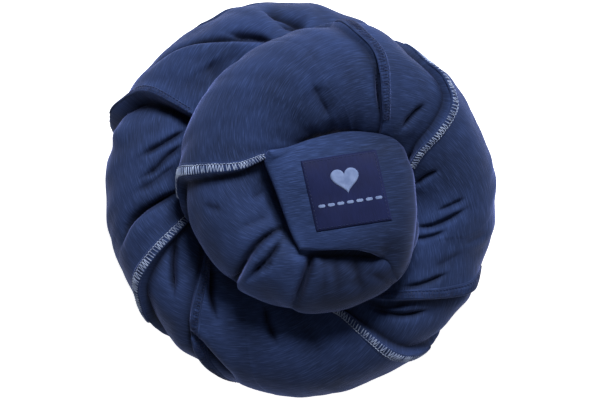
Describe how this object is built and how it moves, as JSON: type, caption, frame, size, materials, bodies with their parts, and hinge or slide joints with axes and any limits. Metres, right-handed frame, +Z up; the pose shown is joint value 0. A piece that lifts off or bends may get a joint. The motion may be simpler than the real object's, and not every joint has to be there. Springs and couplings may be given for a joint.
{
  "type": "baby wrap sling",
  "caption": "Stretch jersey baby wrap, twisted into a soft rope and coiled in stacked turns, with the labelled end spread over the middle.",
  "frame": {"origin": "on the ground, under the middle of the coil", "axes": "+Z up, out of the label; +X to the side where the upper turn runs down into the lower turn; +Y to the side where the tucked end is"},
  "size_m": [0.2539, 0.2572, 0.1127],
  "materials": {
    "jersey": "soft matte knit with a fine slub",
    "label_satin": "smooth woven satin",
    "pale_thread": "matte thread",
    "navy_thread": "matte thread"
  },
  "bodies": {
    "lower_coil": {"lower_turn": "jersey", "pale_edge_lower": "pale_thread", "navy_edge_lower": "navy_thread"},
    "upper_coil": {"upper_turn": "jersey", "pale_edge_upper": "pale_thread", "navy_edge_upper": "navy_thread"},
    "label_end": {"end_flap": "jersey", "label_patch": "label_satin", "label_stitching": "pale_thread"}
  },
  "joints": [
    {"name": "upper_coil_lift", "type": "hinge", "parent": "lower_coil", "child": "upper_coil", "pos_m": [0.09, 0.005, 0.039], "axis": [0, 1, 0], "range_deg": [0, 30]},
    {"name": "label_end_fold", "type": "hinge", "parent": "upper_coil", "child": "label_end", "pos_m": [0.06575, -0.019, 0.1045], "axis": [0.4211, 0.907, 0], "range_deg": [0, 110]}
  ]
}
